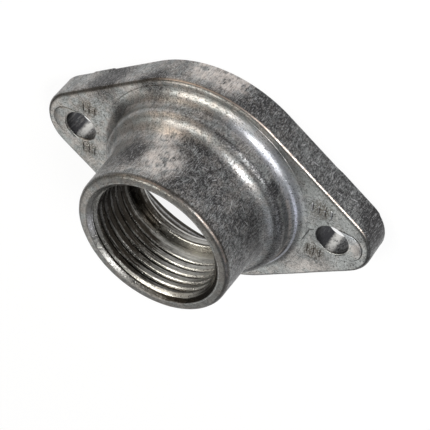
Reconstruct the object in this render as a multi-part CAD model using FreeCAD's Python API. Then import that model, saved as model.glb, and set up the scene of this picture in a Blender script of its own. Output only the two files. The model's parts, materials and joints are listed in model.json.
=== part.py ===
import FreeCAD, Part
import math
import os

# Conduit hub: one die casting with a diamond flange, a round collar and a threaded nozzle.
# Millimetres and degrees. Origin on the bore axis in the plane of the flange's back rim, +Z out of
# the mouth, +X along the line of the two screw holes.

# Bore, tapped with a right-hand 1 inch taper pipe thread, 11.5 turns to the inch
THREAD_PITCH = 2.2087
THREAD_ROOT_RADIUS = 16.6  # at the mouth
THREAD_TAPER = 1 / 32      # of the radius, per length
THREAD_FLANK = 30.0        # slope of each flank, from the plane across the bore
THREAD_ROOT_FLAT = 0.22
THREAD_CREST_FLAT = 0.834  # at the mouth, and wider further in
THREAD_LENGTH = 13.6       # from the groove's end to the mouth
COUNTERSINK = 0.7          # from the thread's root to the edge of the mouth, at 45 degrees
PLAIN_BORE_LENGTH = 2.2    # from the groove's end to the pipe stop
PIPE_STOP_WIDTH = 2.3      # ledge in front of the wire throat
THROAT_LENGTH = 2.3
THROAT_ROUND = 0.6

# Nozzle
RIM_WIDTH = 2.45           # from the countersink to the outside of the mouth
NOZZLE_DRAFT = 0.45        # how much more radius the nozzle has at its foot
NOZZLE_RIM_ROUND = 1.2
NOZZLE_ROOT_ROUND = 4.2

# Collar between flange and nozzle, with a sloping shoulder
SHOULDER_SLOPE = 30.0
SHOULDER_RUN = 0.35        # straight part of the shoulder
COLLAR_EDGE_ROUND = 2.8
COLLAR_RUN = 0.2           # straight part of the collar's wall
COLLAR_ROOT_ROUND = 3.4

# Flange
FLANGE_HEIGHT = 7.8
FLANGE_EDGE_ROUND = 1.2    # rounded front edge
WAIST_LAND = 0.6           # flat strip between the collar's foot and the rounded edge, at the waist
SCREW_SPACING = 67.8       # between the two screw hole centres
SCREW_HOLE_RADIUS = 4.0
SCREW_HOLE_ROUND = 0.4     # rounded front edge of a screw hole
END_MARGIN = 5.65          # metal round a screw hole at the flange's end

# Gasket recess in the back, and the hollow behind the throat
BACK_RIM_WIDTH = 1.3
RECESS_DEPTH = 1.9
WAIST_WALL = 2.8           # from the hollow to the flange's side, at the waist
FLANGE_WALL = 2.6          # from the hollow to the flange's front
COLLAR_SIDE_WALL = 3.4     # from the hollow to the collar's side
COLLAR_TOP_WALL = 2.9      # from the hollow to the shoulder's outer edge
ROOF_RISE = 2.8            # how far the hollow's roof rises to the throat
CAVITY_STEP_ROUND = 2.6
CAVITY_CORNER_ROUND = 1.5
ROOF_ROUND = 1.6

# Radii that follow, from the bore outwards
MOUTH_RADIUS = THREAD_ROOT_RADIUS + COUNTERSINK
FLANK_SPREAD = math.tan(math.radians(THREAD_FLANK))
THREAD_DEPTH = (THREAD_PITCH - THREAD_ROOT_FLAT - THREAD_CREST_FLAT) / (2 * FLANK_SPREAD)
BORE_RADIUS = THREAD_ROOT_RADIUS - THREAD_DEPTH
THROAT_RADIUS = BORE_RADIUS - PIPE_STOP_WIDTH
NOZZLE_MOUTH_RADIUS = MOUTH_RADIUS + RIM_WIDTH
NOZZLE_FOOT_RADIUS = NOZZLE_MOUTH_RADIUS + NOZZLE_DRAFT
SLOPE = math.radians(SHOULDER_SLOPE)
ARC_SHARE = math.tan((math.pi / 2 - SLOPE) / 2)    # of its radius that each shoulder arc takes up
SHOULDER_LENGTH = SHOULDER_RUN + (COLLAR_EDGE_ROUND + NOZZLE_ROOT_ROUND) * ARC_SHARE
COLLAR_RADIUS = NOZZLE_FOOT_RADIUS + SHOULDER_LENGTH * math.cos(SLOPE)
COLLAR_FOOT_RADIUS = COLLAR_RADIUS + COLLAR_ROOT_ROUND
WAIST_RADIUS = COLLAR_FOOT_RADIUS + WAIST_LAND + FLANGE_EDGE_ROUND
CAVITY_RADIUS = WAIST_RADIUS - WAIST_WALL
CAVITY_ROOF_RADIUS = COLLAR_RADIUS - COLLAR_SIDE_WALL
END_RADIUS = SCREW_HOLE_RADIUS + END_MARGIN
HALF_SPACING = SCREW_SPACING / 2

# Heights that follow, from the back upwards
SHOULDER_Z = FLANGE_HEIGHT + COLLAR_ROOT_ROUND + COLLAR_RUN + COLLAR_EDGE_ROUND * ARC_SHARE
NOZZLE_FOOT_Z = SHOULDER_Z + SHOULDER_LENGTH * math.sin(SLOPE)
CAVITY_STEP_Z = FLANGE_HEIGHT - FLANGE_WALL
CAVITY_ROOF_Z = SHOULDER_Z - COLLAR_TOP_WALL
THROAT_BACK_Z = CAVITY_ROOF_Z + ROOF_RISE
PIPE_STOP_Z = THROAT_BACK_Z + THROAT_LENGTH
THREAD_END_Z = PIPE_STOP_Z + PLAIN_BORE_LENGTH
HUB_HEIGHT = THREAD_END_Z + THREAD_LENGTH
COUNTERSINK_Z = HUB_HEIGHT - (MOUTH_RADIUS - BORE_RADIUS)

OVERLAP = 1.0              # how far a cutting tool runs past the face it opens
GROOVE_OVERLAP = 0.2       # the same for the thread's groove, whose turns stay apart
FULL_TURN = 360


def rounded_wire(corners):
    """Closed wire in the XZ plane through corners (radius, z, rounding), with tangent arcs at the corners."""
    spans = []
    for index, (radius, z, rounding) in enumerate(corners):
        corner = FreeCAD.Vector(radius, 0, z)
        before = FreeCAD.Vector(corners[index - 1][0], 0, corners[index - 1][1]) - corner
        after_corner = corners[(index + 1) % len(corners)]
        after = FreeCAD.Vector(after_corner[0], 0, after_corner[1]) - corner
        before.normalize()
        after.normalize()
        if rounding == 0:
            spans.append((corner, corner, corner))
            continue
        half_angle = before.getAngle(after) / 2
        setback = rounding / math.tan(half_angle)
        bisector = before + after
        bisector.normalize()
        reach = rounding / math.sin(half_angle) - rounding
        spans.append((corner + before * setback, corner + bisector * reach, corner + after * setback))
    edges = []
    for index, (start, middle, end) in enumerate(spans):
        previous_end = spans[index - 1][2]
        if not previous_end.isEqual(start, Part.Precision.confusion()):
            edges.append(Part.LineSegment(previous_end, start).toShape())
        if not start.isEqual(end, Part.Precision.confusion()):
            edges.append(Part.Arc(start, middle, end).toShape())
    return Part.Wire(edges)


def turned(corners):
    """Solid of revolution about the bore axis."""
    face = Part.Face(rounded_wire(corners))
    return face.revolve(FreeCAD.Vector(), FreeCAD.Vector(0, 0, 1), FULL_TURN)


def diamond(inset, height):
    """Upright prism of the flange's outline, set in by a margin, standing on the back plane."""
    waist = WAIST_RADIUS - inset
    end = END_RADIUS - inset
    tangent = math.acos((waist - end) / HALF_SPACING)
    arcs = [
        (HALF_SPACING, end, -tangent, tangent),
        (0, waist, tangent, math.pi - tangent),
        (-HALF_SPACING, end, math.pi - tangent, math.pi + tangent),
        (0, waist, math.pi + tangent, 2 * math.pi - tangent),
    ]
    points = []
    for centre_x, radius, first, last in arcs:
        angles = (first, (first + last) / 2, last)
        points.append([
            FreeCAD.Vector(centre_x + radius * math.cos(angle), radius * math.sin(angle), 0)
            for angle in angles
        ])
    edges = []
    for index, (start, middle, end_point) in enumerate(points):
        edges.append(Part.LineSegment(points[index - 1][2], start).toShape())
        edges.append(Part.Arc(start, middle, end_point).toShape())
    return Part.Face(Part.Wire(edges)).extrude(FreeCAD.Vector(0, 0, height))


def flange():
    """Diamond plate with its front edge rounded."""
    plate = diamond(0, FLANGE_HEIGHT)
    front_edges = [
        edge for edge in plate.Edges
        if abs(edge.BoundBox.ZMin - FLANGE_HEIGHT) < Part.Precision.confusion()
    ]
    return plate.makeFillet(FLANGE_EDGE_ROUND, front_edges)


def collar_and_nozzle():
    """Solid round form that stands on the flange, rounded at every step."""
    return turned([
        (0, 0, 0),
        (COLLAR_FOOT_RADIUS, 0, 0),
        (COLLAR_FOOT_RADIUS, FLANGE_HEIGHT, 0),
        (COLLAR_RADIUS, FLANGE_HEIGHT, COLLAR_ROOT_ROUND),
        (COLLAR_RADIUS, SHOULDER_Z, COLLAR_EDGE_ROUND),
        (NOZZLE_FOOT_RADIUS, NOZZLE_FOOT_Z, NOZZLE_ROOT_ROUND),
        (NOZZLE_MOUTH_RADIUS, HUB_HEIGHT, NOZZLE_RIM_ROUND),
        (0, HUB_HEIGHT, 0),
    ])


def bore():
    """Everything that is hollow round the axis but the thread: countersink, bore, throat, hollow behind it."""
    return turned([
        (0, HUB_HEIGHT + OVERLAP, 0),
        (MOUTH_RADIUS, HUB_HEIGHT + OVERLAP, 0),
        (MOUTH_RADIUS, HUB_HEIGHT, 0),
        (BORE_RADIUS, COUNTERSINK_Z, 0),
        (BORE_RADIUS, PIPE_STOP_Z, 0),
        (THROAT_RADIUS, PIPE_STOP_Z, THROAT_ROUND),
        (THROAT_RADIUS, THROAT_BACK_Z, THROAT_ROUND),
        (CAVITY_ROOF_RADIUS, CAVITY_ROOF_Z, ROOF_ROUND),
        (CAVITY_ROOF_RADIUS, CAVITY_STEP_Z, CAVITY_STEP_ROUND),
        (CAVITY_RADIUS, CAVITY_STEP_Z, CAVITY_CORNER_ROUND),
        (CAVITY_RADIUS, -OVERLAP, 0),
        (0, -OVERLAP, 0),
    ])


def thread_groove():
    """Tool for the thread: the groove's section carried up a helix that widens towards the mouth."""
    widening = THREAD_LENGTH * THREAD_TAPER
    root_radius = THREAD_ROOT_RADIUS - widening
    inner_radius = BORE_RADIUS - GROOVE_OVERLAP - widening
    half_root = THREAD_ROOT_FLAT / 2
    half_opening = half_root + (root_radius - inner_radius) * FLANK_SPREAD
    section = Part.makePolygon([
        FreeCAD.Vector(root_radius, 0, -half_root),
        FreeCAD.Vector(root_radius, 0, half_root),
        FreeCAD.Vector(inner_radius, 0, half_opening),
        FreeCAD.Vector(inner_radius, 0, -half_opening),
        FreeCAD.Vector(root_radius, 0, -half_root),
    ])
    taper_angle = math.degrees(math.atan(THREAD_TAPER))
    helix = Part.makeLongHelix(THREAD_PITCH, THREAD_LENGTH, root_radius, taper_angle)
    groove = Part.Wire(helix).makePipeShell([section], True, True)
    groove.translate(FreeCAD.Vector(0, 0, THREAD_END_Z))
    return groove


def screw_hole(side):
    """Tool for one screw hole, flared at the front by the rounded edge."""
    tool = turned([
        (0, -OVERLAP, 0),
        (SCREW_HOLE_RADIUS, -OVERLAP, 0),
        (SCREW_HOLE_RADIUS, FLANGE_HEIGHT, SCREW_HOLE_ROUND),
        (SCREW_HOLE_RADIUS + SCREW_HOLE_ROUND, FLANGE_HEIGHT, 0),
        (SCREW_HOLE_RADIUS + SCREW_HOLE_ROUND, FLANGE_HEIGHT + OVERLAP, 0),
        (0, FLANGE_HEIGHT + OVERLAP, 0),
    ])
    tool.translate(FreeCAD.Vector(side * HALF_SPACING, 0, 0))
    return tool


def hub_casting():
    """The whole casting as one solid."""
    body = flange().fuse(collar_and_nozzle()).removeSplitter()
    tools = [bore(), diamond(BACK_RIM_WIDTH, RECESS_DEPTH), screw_hole(-1), screw_hole(1)]
    return body.cut(tools).removeSplitter().cut(thread_groove())


os.makedirs("parts", exist_ok=True)
hub_casting().exportStep("parts/hub_casting.step")
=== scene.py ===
import json
import math
import bpy
from mathutils import Matrix, Vector, noise


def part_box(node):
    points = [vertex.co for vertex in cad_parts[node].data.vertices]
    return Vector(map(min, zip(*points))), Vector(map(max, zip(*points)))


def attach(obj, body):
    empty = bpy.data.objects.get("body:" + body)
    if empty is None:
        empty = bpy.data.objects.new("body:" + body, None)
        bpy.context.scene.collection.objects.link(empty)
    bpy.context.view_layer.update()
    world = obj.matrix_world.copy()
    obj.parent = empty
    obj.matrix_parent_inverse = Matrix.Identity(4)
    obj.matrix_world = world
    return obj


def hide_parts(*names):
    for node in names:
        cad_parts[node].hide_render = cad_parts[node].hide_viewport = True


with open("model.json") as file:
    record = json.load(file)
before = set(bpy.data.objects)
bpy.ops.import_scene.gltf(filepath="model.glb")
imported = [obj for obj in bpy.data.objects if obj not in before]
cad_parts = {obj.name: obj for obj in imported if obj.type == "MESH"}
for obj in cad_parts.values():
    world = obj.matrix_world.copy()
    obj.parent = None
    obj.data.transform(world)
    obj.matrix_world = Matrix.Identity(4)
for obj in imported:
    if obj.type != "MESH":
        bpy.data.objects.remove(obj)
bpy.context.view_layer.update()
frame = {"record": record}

# Conduit hub: a die casting, tapped at the mouth. Metres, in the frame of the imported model.
MM = 0.001
BODY = "root"
NODE = "hub_casting"

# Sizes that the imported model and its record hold
mounts = {mount["name"]: mount for mount in frame["record"]["mounts"]}
node_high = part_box(NODE)[1]
HUB_HEIGHT = node_high.z
WAIST_RADIUS = node_high.y
HALF_SPACING = mounts["screw_holes"]["dims"]["spacing_x_mm"] / 2 * MM
HOLE_RADIUS = mounts["screw_holes"]["dims"]["hole_r_mm"] * MM
END_RADIUS = node_high.x - HALF_SPACING
BORE_RADIUS = mounts["conduit_thread"]["dims"]["r_mm"] * MM
BORE_LENGTH = mounts["conduit_thread"]["dims"]["length_mm"] * MM
PIPE_STOP_Z = mounts["conduit_thread"]["pos_m"][2] - BORE_LENGTH / 2
THROAT_RADIUS = mounts["wire_throat"]["dims"]["r_mm"] * MM

# Section of the casting at the waist
FLANGE_HEIGHT = 7.8 * MM
FLANGE_EDGE_ROUND = 1.2 * MM
BACK_EDGE_ROUND = 0.25 * MM
BACK_RIM_WIDTH = 1.3 * MM
BACK_RIM_ROUND = 0.55 * MM
RECESS_DEPTH = 1.9 * MM
COLLAR_RADIUS = 24.0 * MM
COLLAR_ROOT_ROUND = 3.3 * MM
COLLAR_EDGE_ROUND = 2.8 * MM
FOOT_RADIUS = 27.4 * MM
FOOT_STEP = 0.07 * MM
FOOT_ROUND = FOOT_STEP / 3
SHOULDER_Z = 13.02 * MM
NOZZLE_FOOT_RADIUS = 20.2 * MM
NOZZLE_FOOT_Z = 15.21 * MM
NOZZLE_MOUTH_RADIUS = 19.75 * MM
NOZZLE_ROOT_ROUND = 4.2 * MM
NOZZLE_RIM_ROUND = 1.2 * MM
MOUTH_RADIUS = 17.3 * MM
MOUTH_EDGE_ROUND = 0.3 * MM
THROAT_BACK_Z = 12.92 * MM
THROAT_ROUND = 0.6 * MM
CAVITY_RADIUS = 26.4 * MM
CAVITY_ROOF_RADIUS = 20.6 * MM
CAVITY_STEP_Z = 5.2 * MM
CAVITY_ROOF_Z = 10.12 * MM
CAVITY_STEP_ROUND = 2.6 * MM
CAVITY_CORNER_ROUND = 1.5 * MM
ROOF_ROUND = 1.6 * MM
HOLE_ROUND = 0.4 * MM

# Where the round section turns into the diamond flange, in radii at the waist
ROUND_LIMIT = FOOT_RADIUS + FOOT_STEP
DIAMOND_LIMIT = WAIST_RADIUS - BACK_RIM_WIDTH

# Thread: right-hand and tapered, cut into the cast bore. At the bottom it starts at a share of its depth
# and leads in over part of a turn.
THREAD_PITCH = 2.2087 * MM
THREAD_ROOT_RADIUS = 16.6 * MM
THREAD_ROOT_FLAT = 0.22 * MM
THREAD_FLANK = math.tan(math.radians(30))
THREAD_TAPER = 1 / 32
THREAD_END_Z = PIPE_STOP_Z + 2.2 * MM
THREAD_LEAD_TURNS = 0.08
THREAD_LEAD_START = 0.1
CREST_BREAK = 0.1 * MM

# Flash left on the slanted back edges: polar angles from and to, and how far it stands out
FLASH_HEIGHT = 0.8 * MM
FLASH_RAMP = math.radians(0.7)
FLASHES = [
    (math.radians(152), math.radians(162.5), 0.3 * MM),
    (math.radians(8), math.radians(25.4), 0.25 * MM),
    (math.radians(200), math.radians(212), 0.25 * MM),
    (math.radians(318), math.radians(331), 0.2 * MM),
]

# Pads at the flange's ends and plain raised bars beside the holes, as centre and count of each group
SUNK = 0.5 * MM
PAD_RADIUS = 4.25 * MM
PAD_LENGTH = 3.35 * MM
PAD_HEIGHT = 0.2 * MM
PAD_BEVEL = 0.1 * MM
BAR_LENGTH = 3.0 * MM
BAR_RADIUS = 0.26 * MM
BAR_HEIGHT = 0.26 * MM
BAR_BEVEL = 0.12 * MM
BAR_RUN_OUT = 1.2 * MM
BAR_PITCH = 1.6 * MM
BAR_GROUPS = [
    (30.5 * MM, 8.0 * MM, 4),
    (29.6 * MM, -6.0 * MM, 3),
    (-31.6 * MM, 7.0 * MM, 3),
    (-31.7 * MM, -6.2 * MM, 3),
]

# Cold flow lines in the casting, as points (x, y) on the flange's front, and the line round each pad's end
FLOW_LINES = [
    [
        (26.4 * MM, -4.5 * MM),
        (27.0 * MM, -2.7 * MM),
        (27.4 * MM, -1.8 * MM),
        (28.0 * MM, 0),
        (29.1 * MM, 0.9 * MM),
    ],
    [(-27.4 * MM, 7.6 * MM), (-26.9 * MM, 6.7 * MM), (-26.2 * MM, 6.2 * MM)],
]
FLOW_LINE_RADIUS = 0.13 * MM
PAD_LINE_REACH = math.radians(78)

# Waves of the cast skin: their lengths and depth, and how far they stay off the back rim and the mouth
WAVE_LONG = 5.0 * MM
WAVE_SHORT = 1.6 * MM
WAVE_LONG_SHARE = 0.6
WAVE_DEPTH = 0.05 * MM
WAVE_MARGIN = 0.5 * MM

# Fineness of the mesh
TURN_STEPS = 330
THREAD_STEPS = 240
OUTER_STEP = 0.5 * MM
INNER_STEP = 1.2 * MM
FACE_STEP = 0.016 * MM
RECESS_STEP = 0.1 * MM
ARC_STEPS = 8
SLOT_END_STEPS = 9
TUBE_STEPS = 8
PAD_LINE_STEPS = 12
HOLE_STEPS = 72
OVERRUN = 1 * MM
SHARP_ANGLE = math.radians(38)

# Colours of the casting
WARM = (0.55, 0.52, 0.49)
COOL = (0.47, 0.49, 0.485)
CHARCOAL = (0.046, 0.045, 0.047)
FLECK = (0.5, 0.5, 0.51)
# Colour of a painted bluish highlight
SKY = (0.45, 0.47, 0.53)
PIT = (0.05, 0.046, 0.04)
STAIN = (0.09, 0.075, 0.055)
# Warm tint of wear, laid where the lamps' highlights fall
WORN_HIGHLIGHT = (0.38, 0.31, 0.27)
# Colour of painted highlights
PALE = (0.68, 0.61, 0.57)
# Colour of grime and of painted shade
GRIME_AND_SHADE = (0.035, 0.03, 0.024)
SHADE = (0.05, 0.05, 0.055)
# Colour of painted lilac highlight lines
LILAC_HIGHLIGHT = (0.82, 0.84, 0.92)
CUT = (0.72, 0.71, 0.67)
# Colour of painted highlights in the bore and the screw holes
CREST = (0.72, 0.71, 0.68)

# The paint measures in millimetres
FLANGE = FLANGE_HEIGHT / MM
COLLAR = COLLAR_RADIUS / MM
FOOT = FOOT_RADIUS / MM
SHOULDER = SHOULDER_Z / MM
NOZZLE = NOZZLE_FOOT_RADIUS / MM
HUB = HUB_HEIGHT / MM
MOUTH = MOUTH_RADIUS / MM
BORE = BORE_RADIUS / MM
STOP = PIPE_STOP_Z / MM
THREAD_END = THREAD_END_Z / MM
THREAD_ROOT = THREAD_ROOT_RADIUS / MM - HUB * THREAD_TAPER
THROAT_BACK = THROAT_BACK_Z / MM
ROOF = CAVITY_ROOF_RADIUS / MM
CAVITY = CAVITY_RADIUS / MM
CAVITY_STEP = CAVITY_STEP_Z / MM
HOLE_EDGE = (HOLE_RADIUS + HOLE_ROUND) / MM

# Grain sizes of the paint's noises, and the strength and depth of its relief
CLOUD_SIZE = 9.0
BLOTCH_SIZE = 2.6
TINT_SIZE = 2.2
MOTTLE_SIZE = 0.75
SCORE_SIZE = 0.6
HIGHLIGHT_STREAK_SIZE = 0.4
PIT_SIZE = 0.38
GRAIN_SIZE = 0.3
FLECK_SIZE = 0.3
TOOL_MARK_SIZE = 0.3
RUB_SIZE = 0.24
BUMP_STRENGTH = 0.6
BUMP_DEPTH = 0.06 * MM

# Zones of the paint. Each limit is a coordinate, where it begins to count and where it counts in full.
# The coordinate upward is the normal's share along Z, and cone is the radius without the thread's taper.
# Reach of the painted highlight lines along the collar's root
HIGHLIGHT_LINE_REACH = [("z", FLANGE + 0.1, FLANGE + 0.3), ("x", 6, 12), ("y", 14, 9)]
ZONES = {
    "wall": [("upward", 0.85, 0.25)],
    "right": [("x", -10, 6)],
    "far_right": [("x", 12, 28)],
    "flange_side": [("z", FLANGE - 0.2, FLANGE - 0.8)],
    "collar": [("radius", COLLAR - 3.4, COLLAR - 1.5), ("z", FLANGE - 0.6, FLANGE + 0.6)],
    "collar_band": [
        ("radius", COLLAR - 0.6, COLLAR - 0.3),
        ("z", FLANGE + 2, FLANGE + 2.6),
        ("z", FLANGE + 4.8, FLANGE + 4.2),
    ],
    "shoulder": [
        ("radius", NOZZLE - 0.3, NOZZLE + 0.4),
        ("z", FLANGE + 0.2, FLANGE + 1.2),
        ("z", SHOULDER + 4, SHOULDER + 2.5),
    ],
    "brow": [
        ("radius", COLLAR - 2.1, COLLAR - 1.6),
        ("z", SHOULDER - 0.6, SHOULDER - 0.1),
        ("z", SHOULDER + 1.9, SHOULDER + 1.4),
        ("x", 2, 9),
    ],
    "fillet_highlight": [
        ("radius", COLLAR - 0.1, COLLAR + 0.4),
        ("z", FLANGE, FLANGE + 0.2),
        ("x", 2, 10),
        ("y", 0, 6),
    ],
    "lilac_highlight": [("radius", COLLAR + 0.75, COLLAR + 0.95), ("radius", COLLAR + 1.4, COLLAR + 1.2), *HIGHLIGHT_LINE_REACH],
    "cream_highlight": [("radius", COLLAR, COLLAR + 0.15), ("radius", COLLAR + 0.5, COLLAR + 0.35), *HIGHLIGHT_LINE_REACH],
    "foot": [
        ("radius", FOOT - 0.2, FOOT - 0.05),
        ("radius", FOOT + 0.25, FOOT + 0.1),
        ("z", FLANGE - 0.4, FLANGE - 0.1),
        ("y", 8, 16),
    ],
    # The front edge's round, where shade is painted, and the band on it where the lamps' highlight falls
    "front_edge": [("z", FLANGE - 1.1, FLANGE - 0.7), ("z", FLANGE, FLANGE - 0.2), ("upward", 0.4, 0.55)],
    "front_crown": [("upward", 0.78, 0.7), ("upward", 0.52, 0.6), ("x", -16, -4), ("y", 4, 8)],
    "rim": [("z", HUB - 1.4, HUB - 1), ("radius", MOUTH + 0.2, MOUTH + 0.4)],
    "rim_highlight_tint": [("upward", 0.35, 0.5), ("upward", 0.8, 0.65), ("x", -6, 0), ("y", -4, 3)],
    "rim_left_shade": [("upward", 0.3, 0.6), ("upward", 0.985, 0.93), ("x", -20, -8)],
    "rim_left": [("x", -9, -17)],
    "ring_line": [
        ("radius", MOUTH - 0.15, MOUTH),
        ("radius", MOUTH + 0.3, MOUTH + 0.15),
        ("z", HUB - 0.5, HUB - 0.2),
    ],
    "roof": [("radius", ROOF + 0.3, ROOF + 0.1), ("z", THROAT_BACK, THROAT_BACK - 0.3)],
    "back": [("radius", CAVITY + 1.9, CAVITY + 1.6), ("z", CAVITY_STEP + 0.4, CAVITY_STEP + 0.1)],
    "hole": [("z", FLANGE - 0.1, FLANGE - 0.3)],
    "cut": [("radius", MOUTH + 0.05, MOUTH - 0.1), ("z", THROAT_BACK - 0.3, THROAT_BACK)],
    "root": [("cone", THREAD_ROOT - 0.25, THREAD_ROOT - 0.08), ("z", THREAD_END - 0.4, THREAD_END + 0.2)],
    "crest": [("radius", BORE + 0.12, BORE + 0.02), ("z", THREAD_END - 0.4, THREAD_END + 0.2)],
    "bore_left": [("x", 5, -11)],
    "bore_right": [("x", 11, 14.5)],
    "mouth": [("z", HUB - 3.5, HUB - 1.5)],
    "mouth_low": [("z", HUB - 3.6, HUB - 2.4), ("y", -3, -9)],
    "plain_bore": [("z", THREAD_END + 0.6, THREAD_END - 0.9)],
    "throat": [("z", STOP + 1.3, STOP - 0.2)],
    "throat_highlight": [("z", THROAT_BACK - 0.2, THROAT_BACK), ("z", THROAT_BACK + 0.6, THROAT_BACK + 0.3)],
    "countersink": [("z", HUB - 1.1, HUB - 0.7), ("radius", MOUTH - 1, MOUTH - 0.7)],
}

# Places and radii of painted highlight patches and of painted shade patches, and of stains round the bars.
# Each is full within its core, a share of the radius.
HIGHLIGHT_SPOTS = [
    ((-2.2, 19.8, 23.8), 6.8),
    ((-5, 20.3, 17), 4.6),
    ((-3.5, 28.9, 2.2), 5.5),
    ((2.5, 29.1, 1.6), 6.5),
    ((-8, -18, 24), 8.0),
    ((30, -14, 3), 12.0),
    ((39.8, 0.5, 7.9), 3.4),
]
SHADE_SPOTS = [
    ((20.1, 12.9, 12.0), 2.6),
    ((17, 19, FLANGE), 4.0),
    ((24, -11, FLANGE), 7.0),
    ((31, -9, FLANGE), 6.0),
    ((40, 4, 3), 6.0),
    ((-14, 24, 8), 6.0),
    ((-22.5, 11.5, 9.3), 5.0),
    ((-4, 28, 11.5), 4.5),
    ((-10.3, 17.1, 22.9), 6.0),
    ((-27.9, 16, 4.2), 8.0),
]
STAIN_RADIUS = 3.8
STAINS = [((x / MM, y / MM, FLANGE), STAIN_RADIUS) for x, y, _ in BAR_GROUPS]
SPOT_CORE = 0.3

# Scratches: place, turn in degrees within the XZ plane and half length
SCRATCH_HALF_WIDTH = 0.1
SCRATCH_HALF_DEPTH = 10 / 3
SCRATCHES = [
    ((6.7, 18.9, 19.9), 20, 1.3),
    ((9.7, 17.5, 20.7), 60, 0.9),
    ((14.6, 13.6, 21.4), -70, 1.0),
    ((3.0, 19.8, 26.0), 35, 1.2),
    ((17.5, 9.5, 24.0), 10, 0.8),
    ((6.6, 18.8, 24.1), -30, 0.9),
    ((8.5, 18.1, 20.8), 75, 0.7),
    ((12.0, 15.9, 23.0), 50, 0.9),
    ((16.5, 11.2, 19.5), -20, 0.9),
    ((18.2, 8.2, 20.5), 40, 0.7),
    ((26.0, 17.0, 4.0), 20, 1.2),
    ((30.0, 14.5, 3.0), -60, 1.0),
    ((33.0, 12.5, 5.0), 15, 1.0),
    ((22.0, 20.0, 3.0), 60, 1.0),
    ((36.0, 10.0, 3.0), 30, 1.2),
]

# Rubbed strokes: their directions, and how far the dark set is shifted from the light one
RUB_TURNS = [(0.6, 0, 0.3), (-0.8, 0.5, 0), (0.2, 0.9, 0.4)]
RUB_SHIFT = 20

# Polar angle towards which the painted shade on a screw hole's wall lifts, and how far its painted
# reflection, a bright streak, wanders
HOLE_TURN = math.radians(-15)
STREAK_WANDER = 1.4

# Floor
FLOOR_SIZE = 4
FLOOR_DROP = 0.1 * MM
FLOOR_GLOW = 0.9
FLOOR_COLOUR = (0.9, 0.9, 0.9, 1)

# Camera
CAMERA_AT = Vector((119.8, 271.6, 236.4)) * MM
CAMERA_AIM = Vector((6.3, -3.2, 12.7)) * MM
CAMERA_ROLL = math.radians(-141.35)
CAMERA_LENS = 134.5
CAMERA_SENSOR = 36

# Lamps: name, direction from the hub, distance, size, power and colour
LAMPS = [
    ("key", (0.6, 0.45, 0.65), 0.6, 0.18, 2.8, (1, 1, 1)),
    ("left", (-0.65, 0.6, 0.3), 0.6, 0.4, 0.9, (1, 0.85, 0.7)),
    ("top", (-0.37, 0.12, 0.92), 0.7, 0.35, 2.4, (1, 0.97, 0.9)),
    ("right", (0.72, -0.5, 0.47), 0.6, 0.2, 0.18, (0.86, 0.88, 1)),
    ("face", (-0.25, -0.76, 0.6), 0.7, 0.6, 1.1, (1, 1, 0.98)),
]
WORLD_COLOUR = (1, 1, 1, 1)
WORLD_LIGHT = 0.15


def diamond_radius(angle, inset):
    """Distance from the bore axis to the flange's outline, set in by a margin, at a polar angle."""
    waist = WAIST_RADIUS - inset
    end = END_RADIUS - inset
    tangent = math.acos((waist - end) / HALF_SPACING)
    x = abs(math.cos(angle))
    y = abs(math.sin(angle))
    fold = math.atan2(y, x)
    if fold >= tangent:
        return waist
    end_corner = math.atan2(end * math.sin(tangent), HALF_SPACING + end * math.cos(tangent))
    if fold >= end_corner:
        return waist / math.cos(tangent - fold)
    along = HALF_SPACING * x
    return along + math.sqrt(along * along - HALF_SPACING ** 2 + end * end)


def skin_radius(radius, angle):
    """A radius of the section at the waist, stretched to the flange's outline at another angle."""
    if radius <= ROUND_LIMIT:
        return radius
    if radius >= DIAMOND_LIMIT:
        return diamond_radius(angle, WAIST_RADIUS - radius)
    share = (radius - ROUND_LIMIT) / (DIAMOND_LIMIT - ROUND_LIMIT)
    outer = diamond_radius(angle, WAIST_RADIUS - DIAMOND_LIMIT)
    return ROUND_LIMIT + share * (outer - ROUND_LIMIT)


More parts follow.
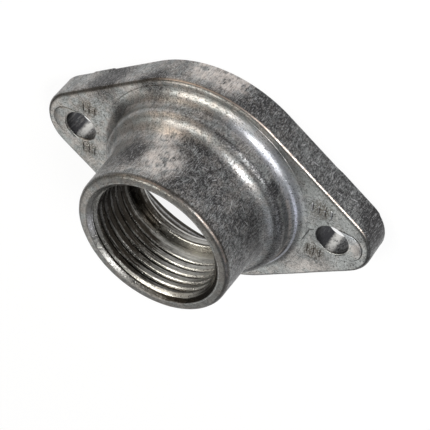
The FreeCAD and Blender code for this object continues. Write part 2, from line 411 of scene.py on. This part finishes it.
def section():
    """Closed section at the waist: corners as (radius, z, rounding, row step of the run that follows)."""
    crest_top_z = HUB_HEIGHT - (MOUTH_RADIUS - BORE_RADIUS)
    foot_z = FLANGE_HEIGHT + FOOT_STEP
    return [
        (MOUTH_RADIUS, HUB_HEIGHT, MOUTH_EDGE_ROUND, OUTER_STEP),
        (NOZZLE_MOUTH_RADIUS, HUB_HEIGHT, NOZZLE_RIM_ROUND, OUTER_STEP),
        (NOZZLE_FOOT_RADIUS, NOZZLE_FOOT_Z, NOZZLE_ROOT_ROUND, OUTER_STEP),
        (COLLAR_RADIUS, SHOULDER_Z, COLLAR_EDGE_ROUND, OUTER_STEP),
        (COLLAR_RADIUS, foot_z, COLLAR_ROOT_ROUND, OUTER_STEP),
        (FOOT_RADIUS, foot_z, FOOT_ROUND, OUTER_STEP),
        (ROUND_LIMIT, FLANGE_HEIGHT, 0, FACE_STEP),
        (DIAMOND_LIMIT, FLANGE_HEIGHT, 0, OUTER_STEP),
        (WAIST_RADIUS, FLANGE_HEIGHT, FLANGE_EDGE_ROUND, OUTER_STEP),
        (WAIST_RADIUS, 0, BACK_EDGE_ROUND, OUTER_STEP),
        (DIAMOND_LIMIT, 0, BACK_RIM_ROUND, OUTER_STEP),
        (DIAMOND_LIMIT, RECESS_DEPTH, 0, RECESS_STEP),
        (ROUND_LIMIT, RECESS_DEPTH, 0, INNER_STEP),
        (CAVITY_RADIUS, RECESS_DEPTH, 0, INNER_STEP),
        (CAVITY_RADIUS, CAVITY_STEP_Z, CAVITY_CORNER_ROUND, INNER_STEP),
        (CAVITY_ROOF_RADIUS, CAVITY_STEP_Z, CAVITY_STEP_ROUND, INNER_STEP),
        (CAVITY_ROOF_RADIUS, CAVITY_ROOF_Z, ROOF_ROUND, INNER_STEP),
        (THROAT_RADIUS, THROAT_BACK_Z, THROAT_ROUND, OUTER_STEP),
        (THROAT_RADIUS, PIPE_STOP_Z, THROAT_ROUND, OUTER_STEP),
        (BORE_RADIUS, PIPE_STOP_Z, 0, INNER_STEP),
        (BORE_RADIUS, crest_top_z, 0, OUTER_STEP),
    ]


def corner_arc(before_point, corner, after_point, rounding):
    """Points of the tangent arc that rounds a corner."""
    before = (before_point - corner).normalized()
    after = (after_point - corner).normalized()
    half_angle = before.angle(after) / 2
    centre = corner + (before + after).normalized() * (rounding / math.sin(half_angle))
    start = corner + before * (rounding / math.tan(half_angle)) - centre
    turn = math.pi - 2 * half_angle
    if before.y * after.x < before.x * after.y:
        turn = -turn
    return [
        centre + Matrix.Rotation(turn * share / ARC_STEPS, 2) @ start
        for share in range(ARC_STEPS + 1)
    ]


def rounded_rows(corners):
    """Points (radius, z) along a closed section, with tangent arcs at its corners."""
    points = [Vector(corner[:2]) for corner in corners]
    spans = []
    for index, point in enumerate(points):
        rounding = corners[index][2]
        if rounding == 0:
            spans.append([point])
        else:
            spans.append(corner_arc(points[index - 1], point, points[(index + 1) % len(points)], rounding))
    rows = []
    for index, span in enumerate(spans):
        rows.extend(span)
        run_start = span[-1]
        run = spans[(index + 1) % len(spans)][0] - run_start
        count = max(1, round(run.length / corners[index][3]))
        rows.extend(run_start + run * (share / count) for share in range(1, count))
    return rows


def flash(angle, z):
    """How far the flash stands out at a place on the flange's side."""
    if z > FLASH_HEIGHT:
        return 0
    reach = 0
    for first, last, size in FLASHES:
        inside = min(angle - first, last - angle) / FLASH_RAMP
        reach = max(reach, size * min(max(inside, 0), 1))
    return reach * (1 - z / FLASH_HEIGHT)


def new_object(name, vertices, faces):
    """Mesh object in the scene."""
    mesh = bpy.data.meshes.new(name)
    mesh.from_pydata(vertices, [], faces)
    mesh.update()
    thing = bpy.data.objects.new(name, mesh)
    bpy.context.collection.objects.link(thing)
    return thing


def casting_skin():
    """Skin of the casting without its thread and screw holes: the section carried round the bore axis."""
    rows = rounded_rows(section())
    angles = [math.tau * step / TURN_STEPS for step in range(TURN_STEPS)]
    vertices = []
    for radius, z in rows:
        on_side = radius > WAIST_RADIUS - BACK_RIM_WIDTH / 2 and z < FLANGE_HEIGHT
        for angle in angles:
            reach = skin_radius(radius, angle)
            if on_side:
                reach += flash(angle, z)
            vertices.append((reach * math.cos(angle), reach * math.sin(angle), z))
    faces = []
    for row in range(len(rows)):
        this_row = row * TURN_STEPS
        next_row = (row + 1) % len(rows) * TURN_STEPS
        for step in range(TURN_STEPS):
            after = (step + 1) % TURN_STEPS
            faces.append((this_row + step, next_row + step, next_row + after, this_row + after))
    return new_object("casting", vertices, faces)


def lofted(loops):
    """Vertices and faces of a closed form through loops of points, capped at both ends."""
    size = len(loops[0])
    vertices = [point for loop in loops for point in loop]
    faces = [tuple(reversed(range(size)))]
    for level in range(len(loops) - 1):
        for step in range(size):
            after = (step + 1) % size
            low = level * size
            faces.append((low + step, low + after, low + size + after, low + size + step))
    top = (len(loops) - 1) * size
    faces.append(tuple(range(top, top + size)))
    return vertices, faces


def gathered(name, forms):
    """One object from several closed forms."""
    vertices = []
    faces = []
    for form_vertices, form_faces in forms:
        start = len(vertices)
        vertices.extend(form_vertices)
        faces.extend(tuple(start + index for index in face) for face in form_faces)
    return new_object(name, vertices, faces)


def thread_tool():
    """Tool for the thread: a V with a flat root on a widening helix, flared where it leaves the wall."""
    lip = BORE_RADIUS + CREST_BREAK
    inner = BORE_RADIUS - CREST_BREAK
    half_root = THREAD_ROOT_FLAT / 2
    loops = []
    for step in range(round((HUB_HEIGHT - THREAD_END_Z) / THREAD_PITCH * THREAD_STEPS) + 1):
        turns = step / THREAD_STEPS
        z = THREAD_END_Z + turns * THREAD_PITCH
        root = THREAD_ROOT_RADIUS - (HUB_HEIGHT - z) * THREAD_TAPER
        led_in = (turns + THREAD_LEAD_START * THREAD_LEAD_TURNS) / THREAD_LEAD_TURNS
        root = lip + (root - lip) * min(1, led_in)
        half_lip = half_root + (root - lip) * THREAD_FLANK
        half_inner = half_lip + lip - inner
        outline = [
            (inner, half_inner),
            (lip, half_lip),
            (root, half_root),
            (root, -half_root),
            (lip, -half_lip),
            (inner, -half_inner),
        ]
        angle = math.tau * turns
        loops.append([
            Vector((radius * math.cos(angle), radius * math.sin(angle), z + offset))
            for radius, offset in outline
        ])
    return lofted(loops)


def stadium(centre, length, radius, turn, z):
    """Loop of points round a slot shape that is longest along a turned X axis."""
    points = []
    for side, start in ((1, -math.pi / 2), (-1, math.pi / 2)):
        for step in range(SLOT_END_STEPS + 1):
            angle = start + math.pi * step / SLOT_END_STEPS
            spot = Vector((side * length / 2 + radius * math.cos(angle), radius * math.sin(angle), 0))
            spot.rotate(Matrix.Rotation(turn, 3, "Z"))
            points.append(Vector((centre[0], centre[1], z)) + spot)
    return points


def raised_form(centre, length, radius, turn, height, bevel, run_out):
    """Slot-shaped form that stands on the flange with a slanted top edge and ends that run out."""
    return lofted([
        stadium(centre, length, radius, turn, FLANGE_HEIGHT - SUNK),
        stadium(centre, length, radius, turn, FLANGE_HEIGHT),
        stadium(centre, length - run_out, radius, turn, FLANGE_HEIGHT + height - bevel),
        stadium(centre, length - run_out, radius - bevel, turn, FLANGE_HEIGHT + height),
    ])


def raised_marks():
    """Pads and bars as one tool."""
    forms = []
    for side in (-1, 1):
        centre = (side * (HALF_SPACING + PAD_LENGTH / 2), 0)
        forms.append(raised_form(centre, PAD_LENGTH, PAD_RADIUS, 0, PAD_HEIGHT, PAD_BEVEL, 0))
    for x, y, count in BAR_GROUPS:
        for index in range(count):
            centre = (x + (index - (count - 1) / 2) * BAR_PITCH, y)
            forms.append(
                raised_form(centre, BAR_LENGTH, BAR_RADIUS, math.pi / 2, BAR_HEIGHT, BAR_BEVEL, BAR_RUN_OUT)
            )
    return gathered("raised_marks", forms)


def front_z(x, y):
    """Height of the flange's front, or of the collar's root round, at a place."""
    inwards = FOOT_RADIUS - math.hypot(x, y)
    lift = COLLAR_ROOT_ROUND - math.sqrt(COLLAR_ROOT_ROUND ** 2 - max(0, inwards) ** 2)
    return FLANGE_HEIGHT + lift + (FOOT_STEP if inwards > 0 else 0)


def flow_line(points):
    """Thin tube along a line on the flange's front, half as wide at its ends."""
    path = [Vector((x, y, front_z(x, y))) for x, y in points]
    loops = []
    for index, spot in enumerate(path):
        along = path[min(index + 1, len(path) - 1)] - path[max(index - 1, 0)]
        across = along.cross(Vector((0, 0, 1))).normalized()
        radius = FLOW_LINE_RADIUS if 0 < index < len(path) - 1 else FLOW_LINE_RADIUS / 2
        loops.append([
            spot + Matrix.Rotation(math.tau * step / TUBE_STEPS, 3, along) @ across * radius
            for step in range(TUBE_STEPS)
        ])
    return lofted(loops)


def pad_line(side):
    """Line round the free end of a pad."""
    centre = side * (HALF_SPACING + PAD_LENGTH)
    points = []
    for step in range(PAD_LINE_STEPS + 1):
        angle = PAD_LINE_REACH * (2 * step / PAD_LINE_STEPS - 1)
        points.append((centre + side * PAD_RADIUS * math.cos(angle), PAD_RADIUS * math.sin(angle)))
    return points


def hole_tool(side):
    """Tool for one screw hole, flared at the front by its rounded edge."""
    profile = [(HOLE_RADIUS, -OVERRUN)]
    for step in range(ARC_STEPS + 1):
        angle = math.pi / 2 * step / ARC_STEPS
        profile.append((
            HOLE_RADIUS + HOLE_ROUND * (1 - math.cos(angle)),
            FLANGE_HEIGHT - HOLE_ROUND * (1 - math.sin(angle)),
        ))
    profile.append((HOLE_RADIUS + HOLE_ROUND, FLANGE_HEIGHT + OVERRUN))
    angles = [math.tau * (step + 0.5) / HOLE_STEPS for step in range(HOLE_STEPS)]
    return lofted([
        [(side * HALF_SPACING + radius * math.cos(angle), radius * math.sin(angle), z) for angle in angles]
        for radius, z in profile
    ])


def combine(target, tool, operation):
    """Joins or cuts a tool and removes it."""
    modifier = target.modifiers.new(operation, "BOOLEAN")
    modifier.operation = operation
    modifier.solver = "EXACT"
    modifier.object = tool
    shaped = bpy.data.meshes.new_from_object(target.evaluated_get(bpy.context.evaluated_depsgraph_get()))
    target.modifiers.clear()
    target.data = shaped
    bpy.data.objects.remove(tool)


def roughen(mesh):
    """Sinks the cast skin in shallow waves, and leaves the back rim, the mouth and the bore true."""
    normals = [vertex.normal.copy() for vertex in mesh.vertices]
    for vertex, normal in zip(mesh.vertices, normals):
        spot = vertex.co
        near_axis = math.hypot(spot.x, spot.y) < MOUTH_RADIUS + WAVE_MARGIN
        in_bore = near_axis and spot.z > PIPE_STOP_Z - WAVE_MARGIN
        if in_bore or spot.z < WAVE_MARGIN:
            continue
        long_wave = WAVE_LONG_SHARE * noise.noise(spot / WAVE_LONG)
        short_wave = (1 - WAVE_LONG_SHARE) * noise.noise(spot / WAVE_SHORT)
        vertex.co -= normal * (WAVE_DEPTH * min(max(0.5 + long_wave + short_wave, 0), 1))
    mesh.update()


class Nodes:
    """Builds a material from nodes."""

    def __init__(self, name):
        self.material = bpy.data.materials.new(name)
        self.material.use_nodes = True
        self.tree = self.material.node_tree

    def node(self, kind, inputs, **settings):
        """New node. An input is a value or another node's output."""
        new = self.tree.nodes.new(kind)
        for name, value in settings.items():
            setattr(new, name, value)
        for name, value in inputs.items():
            self.feed(new.inputs[name], value)
        return new

    def feed(self, socket, value):
        """Links another node's output to an input, or sets the input to a value."""
        if isinstance(value, bpy.types.NodeSocket):
            self.tree.links.new(value, socket)
        else:
            socket.default_value = value

    def math(self, operation, first, second=0.0):
        """Output of a math node."""
        return self.node("ShaderNodeMath", {0: first, 1: second}, operation=operation).outputs[0]

    def vector(self, operation, inputs):
        """Outputs of a vector math node."""
        return self.node("ShaderNodeVectorMath", inputs, operation=operation).outputs


class Paint(Nodes):
    """Material with masks and noises, with places and sizes in millimetres."""

    def __init__(self, name):
        super().__init__(name)
        self.shader = self.tree.nodes["Principled BSDF"]
        object_space = self.node("ShaderNodeTexCoord", {}).outputs
        self.place = self.vector("SCALE", {"Vector": object_space["Object"], "Scale": 1 / MM})[0]
        x, y, z = self.node("ShaderNodeSeparateXYZ", {"Vector": self.place}).outputs
        radius = self.flat_length(self.place)
        self.coordinates = {
            "x": x,
            "y": y,
            "z": z,
            "radius": radius,
            "upward": self.node("ShaderNodeSeparateXYZ", {"Vector": object_space["Normal"]}).outputs["Z"],
            "cone": self.math("ADD", radius, self.math("MULTIPLY", z, -THREAD_TAPER)),
        }
        self.zones = {zone: self.zone(limits) for zone, limits in ZONES.items()}

    def flat_length(self, place):
        """Length of a vector as seen along Z."""
        return self.vector("LENGTH", {0: self.vector("MULTIPLY", {0: place, 1: (1, 1, 0)})[0]})["Value"]

    def zone(self, limits):
        """Mask of the places within all limits."""
        return self.both(*[self.ramp(self.coordinates[name], start, full) for name, start, full in limits])

    def total(self, *terms):
        """Sum of (share, value) terms, held between 0 and 1."""
        result = 0.0
        for share, value in terms:
            result = self.math("ADD", result, self.math("MULTIPLY", value, share))
        return self.node("ShaderNodeClamp", {"Value": result}).outputs[0]

    def ramp(self, value, start, end):
        """Goes smoothly from 0 where the value is at its start to 1 at its end."""
        inputs = {"Value": value, "From Min": start, "From Max": end}
        if start > end:
            inputs = {"Value": value, "From Min": end, "From Max": start, "To Min": 1.0, "To Max": 0.0}
        return self.node("ShaderNodeMapRange", inputs, interpolation_type="SMOOTHSTEP").outputs[0]

    def both(self, *values):
        """Product of masks."""
        result = values[0]
        for value in values[1:]:
            result = self.math("MULTIPLY", result, value)
        return result

    def largest(self, masks):
        """Largest of several masks."""
        result = masks[0]
        for mask in masks[1:]:
            result = self.math("MAXIMUM", result, mask)
        return result

    def noise(self, size, detail=2.0, roughness=0.5, offset=(0, 0, 0), stretch=(1, 1, 1), turn=(0, 0, 0)):
        """Cloudy noise of a grain size, around 0.5."""
        mapping = {"Vector": self.place, "Location": offset, "Scale": stretch, "Rotation": turn}
        place = self.node("ShaderNodeMapping", mapping).outputs[0]
        inputs = {"Vector": place, "Scale": 1 / size, "Detail": detail, "Roughness": roughness}
        return self.node("ShaderNodeTexNoise", inputs).outputs[0]

    def spots(self, places):
        """Soft round masks about places with radii."""
        masks = []
        for centre, radius in places:
            distance = self.vector("DISTANCE", {0: self.place, 1: centre})["Value"]
            masks.append(self.ramp(distance, radius, radius * SPOT_CORE))
        return self.largest(masks)

    def scratch(self, centre, turn, half_length):
        """Mask of a short line about a place, turned in degrees within the XZ plane."""
        inputs = {"Vector": self.place, "Location": centre, "Rotation": (0, math.radians(turn), 0)}
        local = self.node("ShaderNodeMapping", inputs, vector_type="TEXTURE").outputs[0]
        narrowing = (1 / half_length, 1 / SCRATCH_HALF_DEPTH, 1 / SCRATCH_HALF_WIDTH)
        narrowed = self.vector("MULTIPLY", {0: local, 1: narrowing})[0]
        return self.ramp(self.vector("LENGTH", {0: narrowed})["Value"], 1.0, 0.5)

    def mix(self, share, first, second):
        """Colour between two, where a colour is three numbers or another node's output."""
        colours = []
        for colour in (first, second):
            colours.append(colour if isinstance(colour, bpy.types.NodeSocket) else (*colour, 1))
        inputs = {0: share, 6: colours[0], 7: colours[1]}
        return self.node("ShaderNodeMix", inputs, data_type="RGBA").outputs[2]


class CastMetal(Paint):
    """Tumbled casting: grey where it faces up, charcoal as painted shade and flecked on its walls, bright
    where it was cut.
    """

    def __init__(self):
        super().__init__("cast_metal")
        self.blotches = self.noise(BLOTCH_SIZE, detail=3.0, roughness=0.6)
        self.mottle = self.noise(MOTTLE_SIZE, detail=3.0, roughness=0.65)
        self.grain = self.noise(GRAIN_SIZE, roughness=0.6, offset=(3, 8, 1))
        self.pits = self.ramp(self.noise(PIT_SIZE, offset=(7, 3, 5)), 0.57, 0.68)
        self.highlight_patches = self.spots(HIGHLIGHT_SPOTS)
        highlight_streaks = self.noise(HIGHLIGHT_STREAK_SIZE, 2.0, 0.6, (9, 2, 4), (1, 1, 0.25), (0.5, 0.6, 0))
        # Painted highlight patches, broken by streaks and blotches
        self.light = self.both(self.highlight_patches, self.total(
            (0.6, self.ramp(highlight_streaks, 0.35, 0.65)),
            (0.9, self.ramp(self.blotches, 0.3, 0.6)),
            (-0.35, 1.0),
        ))
        self.dark = self.darkness()
        self.hole_wall, self.hole_reflection = self.holes()

    def darkness(self):
        """Share of charcoal in the cast skin: random tone, and painted shade on the walls, more on the right
        side, on the shoulder, on the brow and in shade spots, less where highlights are painted.
        """
        zones = self.zones
        return self.total(
            # Painted shade: walls darker than faces that look up, more so on the right and less on the collar
            (0.26, zones["wall"]),
            (0.02, self.both(zones["wall"], zones["flange_side"])),
            (0.32, self.both(zones["wall"], zones["right"])),
            (-0.15, self.both(zones["wall"], zones["collar"])),
            (0.5, self.noise(CLOUD_SIZE)),
            (0.6, self.blotches),
            (1.0, self.mottle),
            (1.2, self.grain),
            (-0.7, self.light),
            # Less charcoal under the painted bluish highlight
            (-0.3, zones["fillet_highlight"]),
            # Painted shade in spots, on the shoulder and on the brow; a lighter band on the collar's wall
            (0.5, self.spots(SHADE_SPOTS)),
            (0.12, zones["shoulder"]),
            (0.4, zones["brow"]),
            (-0.2, zones["collar_band"]),
            (-1.0, 1.37),
        )

    def skin(self):
        """Colour of the cast skin: its greys and charcoal with painted shade, painted highlight patches, and
        a painted bluish highlight and painted highlight lines at the collar's root.
        """
        zones = self.zones
        tint = self.total(
            (1.0, self.ramp(self.noise(TINT_SIZE, detail=1.0, offset=(2, 2, 6)), 0.35, 0.65)),
            (0.7, zones["far_right"]),
        )
        colour = self.mix(self.dark, self.mix(tint, WARM, COOL), CHARCOAL)
        # Painted highlights: bluish on the collar's root round, and lilac and cream lines along it
        colour = self.mix(self.both(zones["fillet_highlight"], 0.5), colour, SKY)
        # Painted highlight: pale patches
        colour = self.mix(self.both(self.light, 0.7), colour, PALE)
        colour = self.mix(self.both(zones["lilac_highlight"], 0.75), colour, LILAC_HIGHLIGHT)
        cream_highlight_line = self.both(zones["cream_highlight"], self.ramp(self.blotches, 0.35, 0.55), 0.6)
        return self.mix(cream_highlight_line, colour, PALE)

    def rubs(self, shift):
        """Mask of fine strokes in several directions."""
        strokes = []
        for turn in RUB_TURNS:
            stroke = self.noise(RUB_SIZE, 1.0, 0.5, (shift, shift, 0), (1, 1, 0.16), turn)
            strokes.append(self.ramp(stroke, 0.62, 0.72))
        return self.largest(strokes)

    def marked(self, colour):
        """Colour with flecks, rubbed strokes, scratches, pits and stains."""
        flecks = self.both(self.ramp(self.noise(FLECK_SIZE, offset=(1, 5, 9)), 0.6, 0.72), self.zones["wall"])
        colour = self.mix(self.total((0.4, flecks), (0.45, self.rubs(0))), colour, FLECK)
        colour = self.mix(self.both(self.rubs(RUB_SHIFT), 0.5), colour, CHARCOAL)
        scratches = self.largest([self.scratch(*scratch) for scratch in SCRATCHES])
        colour = self.mix(self.both(scratches, 0.8), colour, FLECK)
        # Fewer pits within the painted highlight patches
        pitted = self.total((0.75, self.pits), (-0.5, self.both(self.pits, self.highlight_patches)))
        colour = self.mix(pitted, colour, PIT)
        stained = self.both(self.spots(STAINS), self.ramp(self.grain, 0.38, 0.56), 0.85)
        return self.mix(stained, colour, STAIN)

    def holes(self):
        """Masks of the painted shade on the screw holes' walls and of the painted reflection, a bright
        streak, in each.
        """
        scores = self.noise(SCORE_SIZE, stretch=(1, 1, 0.12), offset=(4, 4, 0))
        across = (math.cos(HOLE_TURN), math.sin(HOLE_TURN), 0)
        inwards = (math.sin(HOLE_TURN), -math.cos(HOLE_TURN), 0)
        hole_shades = []
        hole_reflections = []
        for side in (-1, 1):
            local = self.vector("SUBTRACT", {0: self.place, 1: (side * HALF_SPACING / MM, 0, 0)})[0]
            turned = self.vector("DOT_PRODUCT", {0: local, 1: across})["Value"]
            facing = self.vector("DOT_PRODUCT", {0: local, 1: inwards})["Value"]
            wander = self.math("ADD", turned, self.math("MULTIPLY", self.mottle, STREAK_WANDER))
            inside = self.ramp(self.flat_length(local), HOLE_EDGE, HOLE_EDGE - 0.2)
            hole = self.both(inside, self.zones["hole"])
            hole_shades.append(self.both(hole, self.total(
                (0.95, 1.0),
                (-0.65, self.ramp(turned, 0.9, 2.0)),
                (-0.4, self.ramp(scores, 0.45, 0.7)),
            )))
            hole_reflections.append(self.both(
                hole,
                self.ramp(facing, 0.0, 2.0),
                self.ramp(wander, -0.2, 0.9),
                self.ramp(wander, 2.7, 1.7),
                self.ramp(self.mottle, 0.2, 0.55),
            ))
        return self.largest(hole_shades), self.largest(hole_reflections)

    def edged(self, colour):
        """Colour with painted shade on the front edge's round, on the mouth rim's left side, at the foot line
        and in the cavity's corners, darker at the mouth's edge and on the mouth rim, painted shade and a
        painted reflection in the hole walls, and worn edges tinted where the lamps' highlights fall.
        """
        zones = self.zones
        # Painted shade on the front edge's round, spared where the lamps' highlight falls
        crown = self.both(zones["front_edge"], zones["front_crown"])
        front_edge_shade = self.math("SUBTRACT", zones["front_edge"], crown)
        rim_share = self.total((0.66, 1.0), (-0.3, zones["rim_left"]))
        # Painted shade on the rim's left side, at the foot line and in the cavity's corners; darker at the
        # mouth's edge and on the mouth rim
        grime_and_shade = self.largest([
            self.both(front_edge_shade, 0.7),
            self.both(zones["rim"], zones["rim_left_shade"], 0.6),
            self.both(zones["ring_line"], 0.6),
            self.both(zones["rim"], rim_share),
            self.both(zones["foot"], 0.35),
            self.both(zones["roof"], 0.9),
            self.both(zones["back"], 0.9),
        ])
        colour = self.mix(grime_and_shade, colour, GRIME_AND_SHADE)
        # Painted shade on the screw holes' walls and a painted reflection streak in each
        colour = self.mix(self.hole_wall, colour, SHADE)
        colour = self.mix(self.hole_reflection, colour, CREST)
        # Warm wear tint laid where the lamps' highlights fall on the front edge and the mouth rim, colouring
        # those highlights
        worn_highlight = self.total(
            (0.9, self.both(crown, self.ramp(self.blotches, 0.25, 0.42))),
            (0.5, self.both(zones["rim"], zones["rim_highlight_tint"], self.ramp(self.blotches, 0.42, 0.6))),
        )
        return self.mix(worn_highlight, colour, WORN_HIGHLIGHT)

    def cut(self):
        """Colour of the cut metal in the bore: bright crests and flanks, dark roots, painted shade on its
        left and right sides, low at the mouth and in the throat, and painted highlights on the countersink's
        left side and at the throat's edge.
        """
        zones = self.zones
        tool_marks = self.noise(TOOL_MARK_SIZE, stretch=(0.06, 0.06, 1))
        # Painted shade on the bore's left and right sides, low at the mouth and in the throat
        dark = self.total(
            (0.8, zones["root"]),
            (0.35, zones["crest"]),
            (0.8, zones["bore_left"]),
            (-0.5, self.both(zones["bore_left"], zones["mouth"])),
            (0.6, zones["bore_right"]),
            (-0.15, self.both(zones["bore_left"], zones["plain_bore"])),
            (0.28, zones["mouth_low"]),
            (0.4, zones["throat"]),
            (1.2, tool_marks),
            (0.6, self.mottle),
            (-1.0, 0.9),
        )
        colour = self.mix(dark, CUT, GRIME_AND_SHADE)
        # Painted highlights on the countersink's left side and at the throat's edge
        colour = self.mix(self.both(zones["countersink"], zones["bore_left"], 0.6), colour, CREST)
        throat_highlight = self.both(zones["throat_highlight"], self.ramp(tool_marks, 0.3, 0.5), 0.8)
        return self.mix(throat_highlight, colour, CREST)

    def finished(self):
        """The material, with its colour, roughness and fine relief set."""
        colour = self.edged(self.marked(self.skin()))
        self.feed(self.shader.inputs["Base Color"], self.mix(self.zones["cut"], colour, self.cut()))
        self.feed(self.shader.inputs["Metallic"], 1.0)
        roughness = self.total(
            (0.3, self.mottle),
            (0.1, self.dark),
            (-0.1, self.zones["cut"]),
            (-0.12, self.hole_wall),
            (0.22, 1.0),
        )
        self.feed(self.shader.inputs["Roughness"], roughness)
        height = self.total((0.5, self.mottle), (0.6, self.grain), (-0.6, self.pits))
        relief = {"Strength": BUMP_STRENGTH, "Distance": BUMP_DEPTH, "Height": height}
        self.feed(self.shader.inputs["Normal"], self.node("ShaderNodeBump", relief).outputs[0])
        return self.material


def floor_paper():
    """Pale floor that shows white and keeps the hub's shadow."""
    paper = Nodes("floor_paper")
    paper.tree.nodes.clear()
    rays = paper.node("ShaderNodeLightPath", {}).outputs
    seen = paper.math("MAXIMUM", rays["Is Camera Ray"], rays["Is Glossy Ray"])
    seen_through = paper.math("MAXIMUM", seen, rays["Is Transmission Ray"])
    share = paper.math("MULTIPLY", seen_through, FLOOR_GLOW)
    diffuse = paper.node("ShaderNodeBsdfDiffuse", {"Color": FLOOR_COLOUR}).outputs[0]
    glow = paper.node("ShaderNodeEmission", {"Strength": 1}).outputs[0]
    shade = paper.node("ShaderNodeMixShader", {0: share, 1: diffuse, 2: glow}).outputs[0]
    paper.node("ShaderNodeOutputMaterial", {"Surface": shade})
    return paper.material


def aimed(at, aim):
    """Placement of a camera or lamp at a point, looking at another."""
    return Matrix.Translation(at) @ (aim - at).to_track_quat("-Z", "Y").to_matrix().to_4x4()


def softbox(name, direction, distance, size, power, colour):
    """Square lamp that faces the hub from a direction."""
    lamp = bpy.data.lights.new(name, "AREA")
    lamp.size = size
    lamp.energy = power
    lamp.color = colour
    lamp_object = bpy.data.objects.new(name, lamp)
    bpy.context.collection.objects.link(lamp_object)
    lamp_object.matrix_world = aimed(Vector(direction).normalized() * distance, Vector((0, 0, 0)))


# Casting
casting = casting_skin()
combine(casting, raised_marks(), "UNION")
flow_lines = FLOW_LINES + [pad_line(-1), pad_line(1)]
cuts = [thread_tool(), hole_tool(-1), hole_tool(1)] + [flow_line(points) for points in flow_lines]
combine(casting, gathered("cuts", cuts), "DIFFERENCE")
mesh = casting.data
roughen(mesh)
for polygon in mesh.polygons:
    polygon.use_smooth = True
mesh.set_sharp_from_angle(angle=SHARP_ANGLE)
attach(casting, BODY)
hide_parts(NODE)
mesh.materials.clear()
mesh.materials.append(CastMetal().finished())

# Floor
half_floor = FLOOR_SIZE / 2
floor = new_object("floor", [
    (-half_floor, -half_floor, -FLOOR_DROP),
    (half_floor, -half_floor, -FLOOR_DROP),
    (half_floor, half_floor, -FLOOR_DROP),
    (-half_floor, half_floor, -FLOOR_DROP),
], [(0, 1, 2, 3)])
floor.data.materials.append(floor_paper())

# Camera
camera_data = bpy.data.cameras.new("camera")
camera_data.lens = CAMERA_LENS
camera_data.sensor_width = CAMERA_SENSOR
camera = bpy.data.objects.new("camera", camera_data)
bpy.context.collection.objects.link(camera)
camera.matrix_world = aimed(CAMERA_AT, CAMERA_AIM) @ Matrix.Rotation(CAMERA_ROLL, 4, "Z")
bpy.context.scene.camera = camera
bpy.context.scene.view_settings.view_transform = "Standard"

# Light
for lamp_values in LAMPS:
    softbox(*lamp_values)
world = bpy.data.worlds.new("studio")
world.use_nodes = True
background = world.node_tree.nodes["Background"]
background.inputs["Color"].default_value = WORLD_COLOUR
background.inputs["Strength"].default_value = WORLD_LIGHT
bpy.context.scene.world = world
